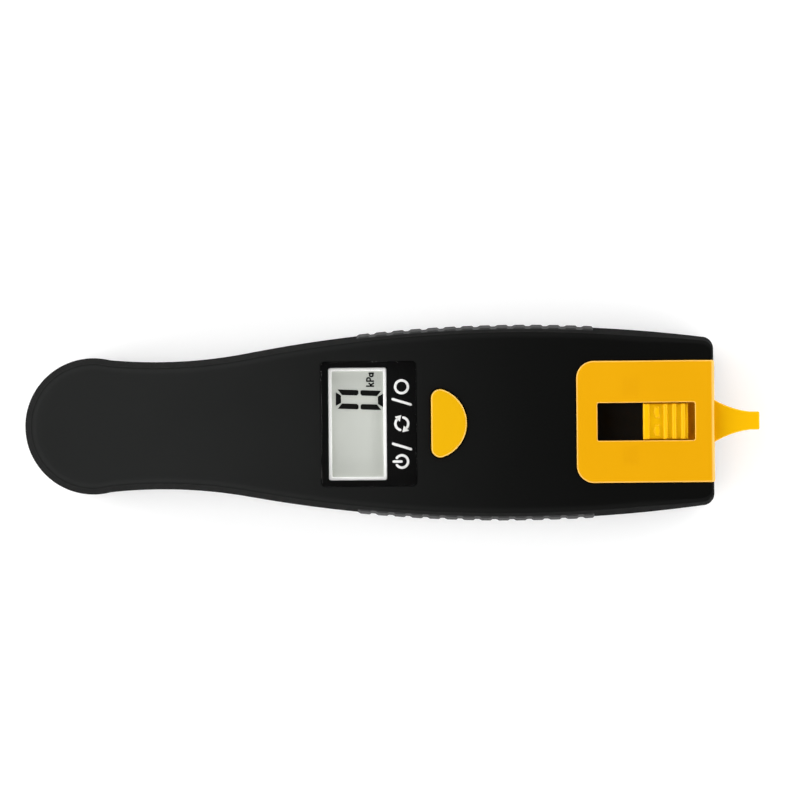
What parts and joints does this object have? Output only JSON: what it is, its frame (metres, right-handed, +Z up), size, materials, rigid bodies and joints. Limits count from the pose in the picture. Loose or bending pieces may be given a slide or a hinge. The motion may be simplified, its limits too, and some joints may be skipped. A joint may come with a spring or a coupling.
{
  "type": "tyre pressure and tread depth gauge",
  "caption": "Handheld digital tyre pressure gauge with a display, a thumb button, ribbed side grips and a slide-out tread depth probe.",
  "frame": {"origin": "middle of the footprint on the resting plane, under the display side", "axes": "+X along the housing towards the probe, +Z up out of the display, +Y to the left of a user who looks along +X"},
  "size_m": [0.1614, 0.043, 0.0246],
  "materials": {
    "housing": "satin moulded plastic with a fine grain",
    "grip": "matt ribbed rubber",
    "lens": "clear glossy acrylic",
    "mask": "gloss black print",
    "white_frame": "satin white",
    "lcd": "grey-green liquid crystal panel",
    "backlight": "milky light guide",
    "zebra": "striped conductive rubber",
    "board": "green solder mask",
    "chip": "black moulding compound",
    "plunger": "matt",
    "button": "satin yellow-orange",
    "sensor": "pale moulded case",
    "hose": "milky silicone",
    "yellow": "satin yellow-orange",
    "slider": "satin yellow",
    "tray": "black",
    "seal": "soft black rubber",
    "brass": "turned",
    "screw": "zinc plated",
    "spring": "spring steel",
    "contact": "nickel plated",
    "cell": "printed sleeve",
    "wire": "pvc sleeve"
  },
  "bodies": {
    "housing": {"upper_shell": "housing", "lower_shell": "housing", "grip_left": "grip", "grip_right": "grip", "display_lens": "lens", "display_mask": "mask", "lcd_frame": "white_frame", "lcd_panel": "lcd", "backlight_panel": "backlight", "zebra_strip": "zebra", "circuit_board": "board", "controller_chip": "chip", "tact_switch": "chip", "pressure_sensor": "sensor", "air_hose": "hose", "valve_nozzle": "yellow", "valve_seal": "seal", "valve_pusher": "brass", "nozzle_screws": "screw", "nose_cover": "yellow", "slide_tray": "tray", "detent_spring": "spring", "tray_screws": "screw", "cell_left": "cell", "cell_right": "cell", "bridge_contact": "contact", "positive_contact": "contact", "negative_contact": "contact", "battery_wires": "wire", "board_screws": "screw", "case_screws": "screw"},
    "button": {"power_button": "button", "switch_plunger": "plunger"},
    "probe": {"depth_slider": "slider"},
    "door": {"battery_door": "housing"}
  },
  "joints": [
    {"name": "button_press", "type": "slide", "parent": "housing", "child": "button", "axis": [0, 0, -1], "range_m": [0, 0.0005], "stiffness_N_per_m": 2000, "springref_m": -0.0004},
    {"name": "probe_slide", "type": "slide", "parent": "housing", "child": "probe", "axis": [1, 0, 0], "range_m": [-0.0099, 0.0014]},
    {"name": "battery_door_hinge", "type": "hinge", "parent": "housing", "child": "door", "pos_m": [-0.0208, 0, 0.00105], "axis": [0, -1, 0], "range_deg": [0, 90]}
  ]
}
